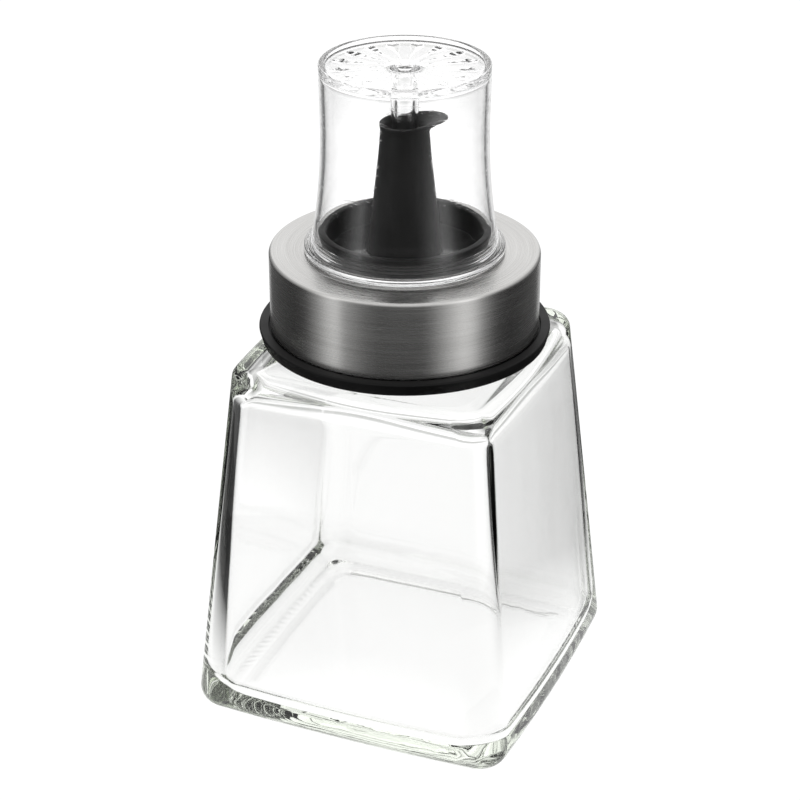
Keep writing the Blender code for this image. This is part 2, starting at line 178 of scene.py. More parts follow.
def bridge(first, second):
    """Faces between two rings, given as (start, count); one may have twice the other's points."""
    (a, n), (b, m) = first, second
    if n > m:
        return bridge(second, first)
    faces = []
    for i in range(n):
        j = (i + 1) % n
        if n == m:
            faces.append((a + i, a + j, b + j, b + i))
        else:
            middle = b + 2 * i + 1
            faces += [(a + i, a + j, middle), (a + i, middle, b + 2 * i), (a + j, b + 2 * j, middle)]
    return faces


def skin(name, rings, look, start=None, end=None, sharp=40):
    """A closed smooth-shaded mesh through rings of points, with a pole at each end or joined round."""
    points = np.concatenate(rings).tolist()
    spans = []
    for ring in rings:
        spans.append((spans[-1][0] + spans[-1][1] if spans else 0, len(ring)))
    faces = []
    pairs = list(zip(spans, spans[1:]))
    if start is None:
        pairs.append((spans[-1], spans[0]))
    for first, second in pairs:
        faces += bridge(first, second)
    for pole, (first, count) in ((start, spans[0]), (end, spans[-1])):
        if pole is not None:
            points.append(pole)
            tip = len(points) - 1
            faces += [(tip, first + i, first + (i + 1) % count) for i in range(count)]
    mesh = bpy.data.meshes.new(name)
    mesh.from_pydata(points, [], faces)
    bm = bmesh.new()
    bm.from_mesh(mesh)
    bmesh.ops.remove_doubles(bm, verts=bm.verts, dist=0.0005 * MM)
    bmesh.ops.recalc_face_normals(bm, faces=bm.faces)
    bm.to_mesh(mesh)
    bm.free()
    mesh.shade_smooth()
    mesh.set_sharp_from_angle(angle=math.radians(sharp))
    mesh.materials.append(look)
    made = bpy.data.objects.new(name, mesh)
    SCENE.collection.objects.link(made)
    return made


def polar(radius, height, angles):
    """Points at these angles; the radius and the height are numbers or one value for each angle."""
    radius = np.broadcast_to(radius, angles.shape)
    height = np.broadcast_to(height, angles.shape)
    return np.stack([radius * np.cos(angles), radius * np.sin(angles), height], 1)


def even_angles(count=ROUND_POINTS):
    return np.arange(count) * math.tau / count


def arc(radius, height, size, start, end, steps=8):
    """Points round a profile corner centred at (radius, height), angles in degrees."""
    turn = np.radians(np.linspace(start, end, steps + 1))
    return [(radius + size * math.cos(t), height + size * math.sin(t)) for t in turn]


def eased(stations, steps):
    """A smooth run of rows through the stations, each a tuple of numbers."""
    rows = np.array([stations[0], *stations, stations[-1]], float)
    made = []
    for k in range(1, len(rows) - 2):
        before, here, there, after = rows[k - 1:k + 3]
        for t in np.arange(steps) / steps:
            made.append(0.5 * (
                2 * here + (there - before) * t + (2 * before - 5 * here + 4 * there - after) * t ** 2
                + (3 * here - before - 3 * there + after) * t ** 3
            ))
    made.append(rows[-1])
    return made


def ridge(height, angles, start, turns, half):
    """From 0 to 1, how much a screw thread stands up at this height, for each angle."""
    rise = np.zeros_like(angles)
    for turn in range(-1, int(turns) + 2):
        along = angles / math.tau + turn
        fade = np.clip(np.minimum(along, turns - along) / 0.12, 0, 1)
        away = np.abs(height - start - THREAD_PITCH * along)
        rise = np.maximum(rise, fade * np.clip((half - away) / (0.45 * half), 0, 1))
    return rise * rise * (3 - 2 * rise)


def place(piece, body, slot, node):
    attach(piece, body)
    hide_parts(node)
    return piece


# ---------------------------------------------------------------- materials

class Look:
    """A new material with its Principled shader and short calls for its nodes."""

    def __init__(self, name, colour, roughness, **settings):
        self.material = bpy.data.materials.new(name)
        self.material.use_nodes = True
        self.tree = self.material.node_tree
        self.shader = self.tree.nodes["Principled BSDF"]
        self.shader.inputs["Base Color"].default_value = (*colour, 1)
        self.shader.inputs["Roughness"].default_value = roughness
        for socket, value in settings.items():
            self.shader.inputs[socket.replace("_", " ")].default_value = value
        self.place = self.node("ShaderNodeTexCoord").outputs["Object"]

    def node(self, kind, **settings):
        made = self.tree.nodes.new(kind)
        for key, value in settings.items():
            setattr(made, key, value)
        return made

    def link(self, output, target):
        self.tree.links.new(output, target)

    def scaled(self, source, x, y, z):
        made = self.node("ShaderNodeMapping")
        made.inputs["Scale"].default_value = (x, y, z)
        self.link(source, made.inputs["Vector"])
        return made.outputs["Vector"]

    def noise(self, source, scale, detail=4.0, distortion=0.0):
        made = self.node("ShaderNodeTexNoise")
        made.inputs["Scale"].default_value = scale
        made.inputs["Detail"].default_value = detail
        made.inputs["Distortion"].default_value = distortion
        self.link(source, made.inputs["Vector"])
        return made.outputs["Fac"]

    def remap(self, source, low, high, to_low, to_high):
        made = self.node("ShaderNodeMapRange")
        for socket, value in zip(("From Min", "From Max", "To Min", "To Max"), (low, high, to_low, to_high)):
            made.inputs[socket].default_value = value
        self.link(source, made.inputs["Value"])
        return made.outputs["Result"]

    def math(self, operation, first, second):
        made = self.node("ShaderNodeMath", operation=operation)
        for socket, value in zip(made.inputs, (first, second)):
            if isinstance(value, float):
                socket.default_value = value
            else:
                self.link(value, socket)
        return made.outputs["Value"]

    def ramp(self, source, *stops):
        made = self.node("ShaderNodeValToRGB")
        row = made.color_ramp.elements
        while len(row) < len(stops):
            row.new(0.5)
        for element, (at, colour) in zip(row, stops):
            element.position = at
            element.color = (*colour, 1)
        self.link(source, made.inputs["Fac"])
        return made.outputs["Color"]

    def bump(self, source, distance, strength=1.0, under=None):
        made = self.node("ShaderNodeBump")
        made.inputs["Distance"].default_value = distance
        made.inputs["Strength"].default_value = strength
        self.link(source, made.inputs["Height"])
        if under:
            self.link(under, made.inputs["Normal"])
        self.link(made.outputs["Normal"], self.shader.inputs["Normal"])
        return made.outputs["Normal"]


def clear_glass():
    """Soda-lime glass, faintly green through its length, with a slow ripple in its surface."""
    look = Look("clear_glass", (1, 1, 1), 0.0, Transmission_Weight=1.0, IOR=1.52)
    tint = look.node("ShaderNodeVolumeAbsorption")
    tint.inputs["Color"].default_value = (0.42, 0.60, 0.20, 1)
    tint.inputs["Density"].default_value = 3.0
    look.link(tint.outputs["Volume"], look.tree.nodes["Material Output"].inputs["Volume"])
    ripple = look.noise(look.scaled(look.place, 1, 1, 0.45), 160, detail=2, distortion=0.4)
    look.bump(ripple, 0.05 * MM, strength=0.15)
    return look.material


def clear_plastic():
    """Injection-moulded styrene with fine handling scratches."""
    look = Look("clear_plastic", (1, 1, 1), 0.0, Transmission_Weight=1.0, IOR=1.42)
    scratches = look.noise(look.scaled(look.place, 1, 1, 6), 220, detail=6, distortion=1.5)
    thin = look.remap(scratches, 0.60, 0.66, 0, 1)
    look.bump(thin, 0.01 * MM, strength=0.35)
    return look.material


def black_plastic():
    """Satin polypropylene with a faint grain, polished on the floor of the tray."""
    look = Look("black_plastic", (0.005, 0.005, 0.005), 0.45, IOR=1.42, Specular_IOR_Level=0.2)
    cloud = look.noise(look.place, 90, detail=5)
    look.link(look.ramp(cloud, (0.3, (0.003, 0.003, 0.003)), (0.7, (0.007, 0.0067, 0.0067))),
              look.shader.inputs["Base Color"])
    grain = look.noise(look.place, 1400, detail=2)
    split = look.node("ShaderNodeSeparateXYZ")
    look.link(look.place, split.inputs["Vector"])
    off_floor = look.math("ABSOLUTE", look.math("SUBTRACT", split.outputs["Z"], TRAY_FLOOR), 0.0)
    satin = look.remap(cloud, 0.3, 0.7, 0.40, 0.52)
    polish = look.remap(off_floor, 0.08 * MM, 0.2 * MM, 0.25, 1)
    look.link(look.math("MULTIPLY", satin, polish), look.shader.inputs["Roughness"])
    look.bump(grain, 0.008 * MM, strength=0.08)
    return look.material


def brushed_steel():
    """Stainless sheet brushed round its axis, with long hairlines."""
    look = Look("brushed_steel", (0.50, 0.495, 0.485), 0.24,
                Metallic=1.0, Anisotropic=0.7, Anisotropic_Rotation=0.25)
    split = look.node("ShaderNodeSeparateXYZ")
    look.link(look.place, split.inputs["Vector"])
    flat = look.node("ShaderNodeVectorMath", operation="LENGTH")
    look.link(look.scaled(look.place, 1, 1, 0), flat.inputs[0])
    across = look.math("SUBTRACT", split.outputs["Z"], flat.outputs["Value"])
    joined = look.node("ShaderNodeCombineXYZ")
    look.link(split.outputs["X"], joined.inputs["X"])
    look.link(split.outputs["Y"], joined.inputs["Y"])
    look.link(across, joined.inputs["Z"])
    hairline = look.noise(look.scaled(joined.outputs["Vector"], 60, 60, 9000), 1, detail=6)
    scuff = look.noise(look.scaled(joined.outputs["Vector"], 25, 25, 900), 1, detail=4)
    cloud = look.noise(look.place, 55, detail=3)
    tangent = look.node("ShaderNodeTangent", direction_type="RADIAL", axis="Z")
    look.link(tangent.outputs["Tangent"], look.shader.inputs["Tangent"])
    brushing = look.remap(hairline, 0.3, 0.7, 0.19, 0.31)
    patches = look.remap(cloud, 0.3, 0.7, -0.02, 0.03)
    look.link(look.math("ADD", brushing, patches), look.shader.inputs["Roughness"])
    mixed = look.math("ADD", look.math("MULTIPLY", hairline, 0.7), look.math("MULTIPLY", scuff, 0.3))
    look.link(look.ramp(mixed, (0.32, (0.42, 0.415, 0.405)), (0.68, (0.58, 0.575, 0.565))),
              look.shader.inputs["Base Color"])
    look.bump(mixed, 0.02 * MM, strength=0.35)
    return look.material


def seal_white():
    """Foamed polyethylene liner, slightly yellowed, with open pores."""
    look = Look("seal_white", (0.80, 0.79, 0.75), 0.55)
    pores = look.node("ShaderNodeTexVoronoi")
    pores.inputs["Scale"].default_value = 1800
    look.link(look.place, pores.inputs["Vector"])
    cloud = look.noise(look.place, 120)
    look.link(look.ramp(cloud, (0.3, (0.74, 0.72, 0.66)), (0.7, (0.84, 0.83, 0.80))),
              look.shader.inputs["Base Color"])
    look.bump(pores.outputs["Distance"], 0.05 * MM, strength=0.5)
    return look.material


# ---------------------------------------------------------------- glass bottle

def square_outline(half, corner, bow=FACE_BOW, fine=1):
    """A square with bowed sides that run smoothly into round corners: points and outward directions."""
    slope = 0.0
    for _ in range(6):
        slope = 2 * math.atan(bow / (half - corner * math.cos(slope) + corner * math.sin(slope)))
    centre = half - corner * math.cos(slope)
    long_radius = (centre + corner * math.sin(slope)) / math.sin(slope)
    side = np.linspace(-slope, slope, SIDE_POINTS * fine + 1)
    turn = np.linspace(slope, math.pi / 2 - slope, CORNER_POINTS * fine + 1)[1:-1]
    x = np.concatenate([half + bow + long_radius * (np.cos(side) - 1), centre + corner * np.cos(turn)])
    y = np.concatenate([long_radius * np.sin(side), centre + corner * np.sin(turn)])
    facing = np.concatenate([side, turn])
    points, directions = [], []
    for quarter in range(4):
        c, s = math.cos(quarter * math.pi / 2), math.sin(quarter * math.pi / 2)
        points.append(np.stack([c * x - s * y, s * x + c * y], 1))
        directions.append(facing + quarter * math.pi / 2)
    return np.concatenate(points), np.concatenate(directions)


def body_ring(height, inset, fine=1):
    """The bottle's outline at a height, moved in by the inset."""
    share = height / SHOULDER_HEIGHT
    half = BASE_HALF + (SHOULDER_HALF - BASE_HALF) * share - inset
    corner = max(BASE_CORNER + (SHOULDER_CORNER - BASE_CORNER) * share - inset, 2.2 * MM)
    points, directions = square_outline(half, corner, fine=fine)
    return np.column_stack([points, np.full(len(points), height)]), directions


def cavity_ring(height, inset=0.0):
    """The cavity's outline at a height: its corners grow softer towards the floor."""
    share = height / SHOULDER_HEIGHT
    half = BASE_HALF + (SHOULDER_HALF - BASE_HALF) * share - SIDE_WALL - inset
    softness = (1 - share) ** CORNER_EASE
    corner = INNER_CORNER_HIGH + (INNER_CORNER_LOW - INNER_CORNER_HIGH) * softness - 0.25 * inset
    points, directions = square_outline(half, corner)
    return np.column_stack([points, np.full(len(points), height)]), directions


def waved(ring, directions, amount):
    """The ring moved in and out by slow waves, as a pressed wall varies in thickness."""
    shift = np.array([
        noise.noise(Vector((x * 60, y * 60, z * 24 + 7)))
        + 0.2 * noise.noise(Vector((x * 190, y * 190, z * 60)))
        for x, y, z in ring
    ])
    moved = ring.copy()
    moved[:, 0] += amount * shift * np.cos(directions)
    moved[:, 1] += amount * shift * np.sin(directions)
    return moved


def stippled_ring(height, inset, amount):
    """A ring of the base with short radial ridges pressed down into it."""
    ring, directions = body_ring(height, inset, fine=2)
    steps = np.linalg.norm(np.roll(ring, -1, 0) - ring, axis=1)
    along = np.cumsum(steps) / np.sum(steps)
    side = np.clip(4 - 90 * np.abs(np.sin(2 * directions)) * 0.5, 0, 1)
    bead = side * np.clip(np.cos(along * STIPPLES * math.tau) * 1.4 - 0.2, 0, 1)
    ring[:, 2] += STIPPLE_HEIGHT * (1 - amount * bead)
    return ring


def base_rings():
    """Underside from the punt to the bearing band, with its ring of ridges, then the round heel."""
    rings = []
    for share in np.linspace(0.12, 0.96, 16):
        inner, _ = body_ring(0, HEEL_RADIUS + BEARING_BAND + 1.2 * MM)
        rise = PUNT_RISE * (1 - 0.55 * share ** 2)
        rings.append(np.column_stack([inner[:, :2] * share, np.full(len(inner), rise)]))
    for step, amount in enumerate((0, 0, 0.55, 1, 1, 1, 1, 0.55, 0)):
        inset = HEEL_RADIUS + BEARING_BAND * (1 - step / 8)
        rings.append(stippled_ring(0, inset, amount))
    for angle in np.radians(np.linspace(8, 90, 12)):
        height = HEEL_RADIUS * (1 - math.cos(angle)) + STIPPLE_HEIGHT * (1 - math.sin(angle))
        rings.append(body_ring(height, HEEL_RADIUS * (1 - math.sin(angle)))[0])
    return rings


def outer_rings():
    """Sides, shoulder, threaded neck and lip of the glass, going up."""
    rings = [body_ring(height, 0)[0]
             for height in np.linspace(HEEL_RADIUS, SHOULDER_HEIGHT - SHOULDER_RADIUS, 28)[1:]]
    for angle in np.radians(np.linspace(0, 90, 12)[1:]):
        height = SHOULDER_HEIGHT - SHOULDER_RADIUS * (1 - math.sin(angle))
        rings.append(body_ring(height, SHOULDER_RADIUS * (1 - math.cos(angle)))[0])
    edge = rings[-1]
    angles = np.arctan2(edge[:, 1], edge[:, 0])
    root = polar(NECK_RADIUS + 1.5 * MM, SHOULDER_HEIGHT + 0.4 * MM, angles)
    rings += [edge + (root - edge) * share for share in np.linspace(0, 1, 10)[1:]]
    for angle in np.radians(np.linspace(90, 0, 6)[1:]):
        rings.append(polar(NECK_RADIUS + 1.5 * MM * (1 - math.cos(angle)),
                           SHOULDER_HEIGHT + 0.4 * MM + 1.5 * MM * (1 - math.sin(angle)), angles))
    turned = np.mod(angles, math.tau)
    for height in np.arange(GLASS_THREAD_START - 2 * MM, FINISH_HEIGHT - 1.2 * MM, 0.3 * MM):
        grown = ridge(height, turned, GLASS_THREAD_START, GLASS_THREAD_TURNS, THREAD_FOOT / 2)
        rings.append(polar(NECK_RADIUS + THREAD_DEPTH * grown, height, angles))
    lip = 1.1 * MM
    for radius, height in arc(NECK_RADIUS - lip, FINISH_HEIGHT - lip, lip, 0, 90, 6):
        rings.append(polar(radius, height, angles))
    return rings, angles


def inner_rings(angles):
    """Bore, inner shoulder, waved inner walls and rounded floor of the glass, going down."""
    edge, swell, ceiling = 0.6 * MM, 2.0 * MM, SHOULDER_HEIGHT - SIDE_WALL
    crown = ceiling + 0.3 * MM
    rings = [polar(radius, height, angles)
             for radius, height in arc(MOUTH_RADIUS + edge, FINISH_HEIGHT - edge, edge, 90, 180, 4)]
    rings += [polar(MOUTH_RADIUS, height, angles)
              for height in np.linspace(FINISH_HEIGHT - 2 * MM, ceiling + 3 * MM, 5)]
    rings += [polar(radius, height, angles)
              for radius, height in arc(MOUTH_RADIUS + swell, crown + swell, swell, 185, 262, 6)]
    for angle in np.radians(np.linspace(5, 90, 20)):
        height = crown - INNER_SHOULDER * (1 - math.cos(angle))
        wall, directions = cavity_ring(height)
        bore = polar(MOUTH_RADIUS + swell, height, angles)
        rings.append(waved(bore + (wall - bore) * math.sin(angle), directions, WALL_WAVES * math.sin(angle)))
    for height in np.linspace(ceiling - INNER_SHOULDER, FLOOR_THICKNESS + FLOOR_FILLET, 40)[1:-1]:
        rings.append(waved(*cavity_ring(height), WALL_WAVES))
    for angle in np.radians(np.linspace(0, 90, 20)):
        height = FLOOR_THICKNESS + FLOOR_FILLET * (1 - math.sin(angle))
        wall, directions = cavity_ring(height, FLOOR_FILLET * (1 - math.cos(angle)))
        rings.append(waved(wall, directions, WALL_WAVES * math.cos(angle)))
    floor = rings[-1]
    for share in np.linspace(1, 0.1, 16)[1:]:
        rise = FLOOR_THICKNESS + PUNT_RISE * 0.5 * (1 - share ** 2)
        ring = floor * share
        ripple = 0.05 * MM * (1 - share ** 4)
        ring[:, 2] = [rise + ripple * noise.noise(Vector((x * 130, y * 130, 3))) for x, y, _ in ring]
        rings.append(ring)
    return rings


def make_bottle():
    outside, angles = outer_rings()
    rings = base_rings() + outside + inner_rings(angles)
    middle = FLOOR_THICKNESS + PUNT_RISE * 0.5
    bottle = skin("bottle_glass", rings, clear_glass(), (0, 0, PUNT_RISE), (0, 0, middle), sharp=60)
    return place(bottle, "bottle", "clear_glass", "glass_bottle")


# ---------------------------------------------------------------- closure

def turned(name, profile, look, sharp=40):
    """A solid of revolution; the profile closes on itself."""
    angles = even_angles()
    return skin(name, [polar(radius, height, angles) for radius, height in profile], look, sharp=sharp)


def make_liner():
    outer, inner = LINER_HIGH.x, PLUG_RADIUS + 1.3 * MM
    low, high, edge = LINER_LOW.z, LINER_HIGH.z, 0.2 * MM
    profile = arc(outer - edge, low + edge, edge, -90, 0, 3)
    profile += arc(outer - edge, high - edge, edge, 0, 90, 3)
    for radius in np.linspace(outer - 1.2 * MM, inner + 1.0 * MM, 9):
        profile += [(radius + 0.15 * MM, high), (radius, high - 0.12 * MM), (radius - 0.15 * MM, high)]
    profile += arc(inner + edge, high - edge, edge, 90, 180, 3)
    profile += arc(inner + edge, low + edge, edge, 180, 270, 3)
    return place(turned("liner_ring", profile, seal_white()), "seal", "seal_white", "sealing_liner")


def make_cap(look):
    """Black inner cap: its flange shows below the steel, and the rest carries the thread and the deck."""
    low, radius = CAP_LOW.z, CAP_HIGH.x
    skirt = NECK_RADIUS + THREAD_DEPTH + THREAD_CLEARANCE
    seat = SHELL_HIGH.x - SHELL_WALL - GAP
    groove, recess = SHELL_HIGH.x + GAP, FLANGE_TOP - 0.5 * MM
    top, deck_hole = CAP_HIGH.z, 16.2 * MM
    waist, edge = seat - 1.3 * MM, 0.35 * MM
    outside = [(skirt + 0.6 * MM, low)] + arc(radius - 0.85 * MM, low + edge, edge, -90, -8, 5)
    outside += arc(radius - edge, FLANGE_TOP - edge, edge, 2, 90, 6)
    outside += [(groove + 0.12 * MM, FLANGE_TOP), (groove, FLANGE_TOP - 0.12 * MM)]
    outside += [(groove, recess), (seat, recess), (seat, low + 5.6 * MM)]
    outside += [(waist, low + 6.4 * MM), (waist, low + 13.8 * MM), (seat, low + 14.6 * MM)]
    outside += arc(seat - 0.8 * MM, top - 0.8 * MM, 0.8 * MM, 0, 90, 6)
    outside += [(deck_hole + 0.2 * MM, top), (deck_hole, top - 0.2 * MM), (deck_hole, top - 2 * MM)]
    outside += [(skirt - 0.4 * MM, top - 2 * MM), (skirt, top - 2.4 * MM)]
    angles = even_angles()
    rings = [polar(r, h, angles) for r, h in outside]
    start = GLASS_THREAD_START - THREAD_PITCH / 2 + 0.25 * MM
    for height in np.arange(top - 2.8 * MM, low + 1.0 * MM, -0.3 * MM):
        grown = ridge(height, angles, start, CAP_THREAD_TURNS, THREAD_FOOT / 2)
        rings.append(polar(skirt - THREAD_DEPTH * grown, height, angles))
    rings.append(polar(skirt, low + 0.6 * MM, angles))
    return place(skin("cap_insert", rings, look), "closure", "black_plastic", "inner_cap")


def make_shell():
    """Steel skirt and top ring in one drawn shell, its lower edge turned in under a small bead."""
    radius, low, top = SHELL_HIGH.x, SHELL_LOW.z, SHELL_HIGH.z
    inner, hole, edge = radius - SHELL_WALL, TRAY_RADIUS + GAP, 0.2 * MM
    profile = arc(inner + 0.25 * MM, low + 0.25 * MM, 0.25 * MM, 180, 360, 8)
    profile += [(radius, height) for height in np.linspace(low + 0.6 * MM, top - SHELL_EDGE - 0.4 * MM, 10)]
    profile += arc(radius - SHELL_EDGE, top - SHELL_EDGE, SHELL_EDGE, 0, 90, 14)
    profile += [(r, top) for r in np.linspace(radius - SHELL_EDGE - 0.4 * MM, hole + edge + 0.3 * MM, 10)]
    profile += arc(hole + edge, top - edge, edge, 90, 180, 4) + [(hole, top - SHELL_WALL)]
    under = top - SHELL_WALL
    profile += arc(inner - 0.5 * MM, under - 0.5 * MM, 0.5 * MM, 90, 0, 6)
    return place(turned("steel_collar", profile, brushed_steel()), "closure", "brushed_steel", "steel_shell")


# ---------------------------------------------------------------- spout

def spout_ring(radius, height, reach, slope):
    """A circle drawn out towards the pouring lip by the reach, and rising that way by the slope."""
    angles = even_angles()
    towards_lip = np.cos(angles - LIP_DIRECTION)
    distance = radius + reach * np.maximum(0, towards_lip) ** 4
    return polar(distance, height + slope * distance * towards_lip, angles)


def column_stations():
    """Radius, height, reach and slope down the outside of the spout."""
    top, rows = SPOUT_TOP, []
    for drop, share in ((0.02, 0.97), (0.07, 1), (0.17, 0.97), (0.4, 0.6), (0.64, 0.2), (1, 0)):
        slope = MOUTH_SLOPE if drop < 1 else 0.0
        radius = SPOUT_TIP_RADIUS + 0.15 * MM * share
        rows.append((radius, top - LIP_HEIGHT * drop, LIP_REACH * share, slope))
    rows.append((SPOUT_TIP_RADIUS + 0.1 * MM, top - 3.2 * MM, 0, 0))
    rows.append((SPOUT_TIP_RADIUS + 0.45 * MM, top - 7.5 * MM, 0, 0))
    rows.append((SPOUT_TIP_RADIUS + 1.4 * MM, top - 16 * MM, 0, 0))
    rows.append((SPOUT_FOOT_RADIUS - 0.12 * MM, TRAY_FLOOR + 2.2 * MM, 0, 0))
    rows.append((SPOUT_FOOT_RADIUS, TRAY_FLOOR + 0.35 * MM, 0, 0))
    rows.append((SPOUT_FOOT_RADIUS + 0.25 * MM, TRAY_FLOOR, 0, 0))
    return rows


def tray_profile():
    """Tray floor, ring wall, and the plug below it that snaps into the inner cap."""
    inner, under, low = TRAY_RADIUS - TRAY_WALL, TRAY_FLOOR - 1.4 * MM, SPOUT_LOW.z
    deck, fillet, rim = CAP_HIGH.z + GAP, 0.3 * MM, 0.45 * MM
    profile = [(radius, TRAY_FLOOR)
               for radius in np.linspace(SPOUT_FOOT_RADIUS + 0.6 * MM, inner - 0.6 * MM, 16)]
    profile += arc(inner - fillet, TRAY_FLOOR + fillet, fillet, -90, 0, 4)
    profile += arc(inner + rim, TRAY_RIM - rim, rim, 180, 90, 6)
    profile += arc(TRAY_RADIUS - fillet, TRAY_RIM - fillet, fillet, 90, 0, 5)
    profile += [(TRAY_RADIUS, deck), (PLUG_RADIUS, deck), (PLUG_RADIUS, low + 3.1 * MM)]
    profile += arc(PLUG_RADIUS + 0.3 * MM, low + 2.55 * MM, 0.4 * MM, 80, -80, 6)
    profile += [(PLUG_RADIUS, low + 1.4 * MM), (PLUG_RADIUS - 0.3 * MM, low + 0.1 * MM)]
    profile += [(PLUG_RADIUS - 0.5 * MM, low), (PLUG_RADIUS - 1.3 * MM, low)]
    profile += [(PLUG_RADIUS - 1.5 * MM, low + 0.2 * MM), (PLUG_RADIUS - 1.5 * MM, under - 0.4 * MM)]
    profile += [(PLUG_RADIUS - 1.9 * MM, under), (SPOUT_BORE + 1.8 * MM, under)]
    return [(radius, height, 0, 0) for radius, height in profile]


def bore_stations():
    """Radius, height, reach and slope up the bore, through the pin's seat, to the scooped mouth."""
    top, bore = SPOUT_TOP, SPOUT_BORE
    return [
        (bore + 1.2 * MM, TRAY_FLOOR - 1.4 * MM, 0, 0), (bore + 0.9 * MM, TRAY_FLOOR + 3 * MM, 0, 0),
        (bore + 0.3 * MM, top - 18 * MM, 0, 0), (SPOUT_SEAT, top - 8.5 * MM, 0, 0),
        (SPOUT_SEAT, top - 6 * MM, 0, 0), (bore, top - 4.4 * MM, 0, 0),
        (bore + 0.15 * MM, top - 2.2 * MM, 0.2 * MM, 0),
        (bore + 0.35 * MM, top - 1.2 * MM, 0.7 * MM, MOUTH_SLOPE),
        (bore + 0.6 * MM, top - 0.55 * MM, 2.3 * MM, MOUTH_SLOPE),
        (SPOUT_TIP_RADIUS - 0.5 * MM, top - 0.03 * MM, LIP_REACH - 0.2 * MM, MOUTH_SLOPE),
        (SPOUT_TIP_RADIUS - 0.2 * MM, top, LIP_REACH - 0.1 * MM, MOUTH_SLOPE),
    ]


def make_spout(look):
    stations = eased(column_stations(), 5) + tray_profile() + eased(bore_stations(), 4)
    spout = skin("spout_and_tray", [spout_ring(*station) for station in stations], look)
    bm = bmesh.new()
    bmesh.ops.create_cone(
        bm, cap_ends=True, segments=32, radius1=VENT_RADIUS, radius2=VENT_RADIUS, depth=6 * MM)
    mesh = bpy.data.meshes.new("vent_cutter")
    bm.to_mesh(mesh)
    bm.free()
    cutter = bpy.data.objects.new("vent_cutter", mesh)
    cutter.location = (
        -VENT_DISTANCE * math.cos(LIP_DIRECTION), -VENT_DISTANCE * math.sin(LIP_DIRECTION), TRAY_FLOOR)
    SCENE.collection.objects.link(cutter)
    cut = spout.modifiers.new("vent", "BOOLEAN")
    cut.operation, cut.solver, cut.object = "DIFFERENCE", "EXACT", cutter
    bpy.context.view_layer.update()
    finished = bpy.data.meshes.new_from_object(spout.evaluated_get(bpy.context.evaluated_depsgraph_get()))
    spout.modifiers.clear()
    spout.data = finished
    bpy.data.objects.remove(cutter)
    return place(spout, "closure", "black_plastic", "pour_spout")


# ---------------------------------------------------------------- dust cover

def cover_radius(drop):
    """Outer radius of the cover's waisted wall, this far below its top."""
    waist = 0.2 * MM * (1 - math.cos(math.pi * min(drop / (14 * MM), 1))) / 2
    flare = 1.9 * MM * max(0, (drop - 14 * MM) / (22 * MM)) ** 2
    return COVER_RIM_RADIUS - waist + flare


def facet_depth(radius, angles, disc_radius):
    """Depth of the ring of kite-shaped facets moulded into the top disc."""
    share = radius / disc_radius
    half = np.interp(share, (0.2, 0.52, 0.8, 0.95), (0.12 * MM, 0.3 * MM, 1.45 * MM, 0.0))
    if half <= 0 or share < 0.2:
        return np.zeros_like(angles)
    step = math.tau / FACETS
    away = np.abs(np.mod(angles - CAMERA_AZIMUTH, step) - step / 2) * radius
    return FACET_SLOPE * np.maximum(half - away, 0)


def cover_outer_rings():
    """Dimple, faceted disc, rim, wall and foot flange, from the middle of the top outwards."""
    angles = even_angles(FACETS * 24)
    top, disc = COVER_HIGH.z, COVER_HIGH.z - RIM_HEIGHT
    disc_radius = COVER_RIM_RADIUS - RIM_WIDTH
    profile = [(0.5 * MM, disc - 0.7 * MM), (1.2 * MM, disc - 0.68 * MM)]
    profile += arc(1.5 * MM, disc - 0.4 * MM, 0.28 * MM, -90, 0, 3)
    profile += [(1.82 * MM, disc - 0.06 * MM), (1.95 * MM, disc)]
    rings = [polar(radius, height, angles) for radius, height in profile]
    for radius in np.linspace(2.2 * MM, disc_radius - 0.35 * MM, 46):
        rings.append(polar(radius, disc - facet_depth(radius, angles, disc_radius), angles))
    edge = 0.45 * MM
    profile = arc(disc_radius - 0.1 * MM, disc + 0.25 * MM, 0.25 * MM, -90, -10, 4)
    profile += arc(disc_radius + 0.5 * MM, top - 0.3 * MM, 0.3 * MM, 170, 90, 4)
    profile += arc(COVER_RIM_RADIUS - edge, top - edge, edge, 90, 0, 7)
    foot, flange = COVER_LOW.z + COVER_FOOT, COVER_HIGH.x
    for drop in np.linspace(0.8 * MM, top - foot - 3 * MM, 40):
        profile.append((cover_radius(drop), top - drop))
    for above in FOOT_RIBS:
        here, height = cover_radius(top - foot - above), foot + above
        profile += [(here, height + 0.2 * MM), (here + 0.1 * MM, height + 0.08 * MM)]
        profile += [(here + 0.1 * MM, height - 0.08 * MM), (here, height - 0.2 * MM)]
    base, edge = cover_radius(top - foot), 0.3 * MM
    profile += arc(base + edge, foot + edge, edge, 185, 262, 5)
    for centre in np.linspace(base + 0.5 * MM, flange - 0.5 * MM, FOOT_BEADS):
        profile += [(centre - 0.14 * MM, foot), (centre - 0.06 * MM, foot + 0.16 * MM)]
        profile += [(centre + 0.06 * MM, foot + 0.16 * MM), (centre + 0.14 * MM, foot)]
    profile += arc(flange - edge, foot - edge, edge, 88, 0, 5)
    profile += arc(flange - edge, COVER_LOW.z + edge, edge, 0, -88, 5)
    return rings + [polar(radius, height, angles) for radius, height in profile], angles


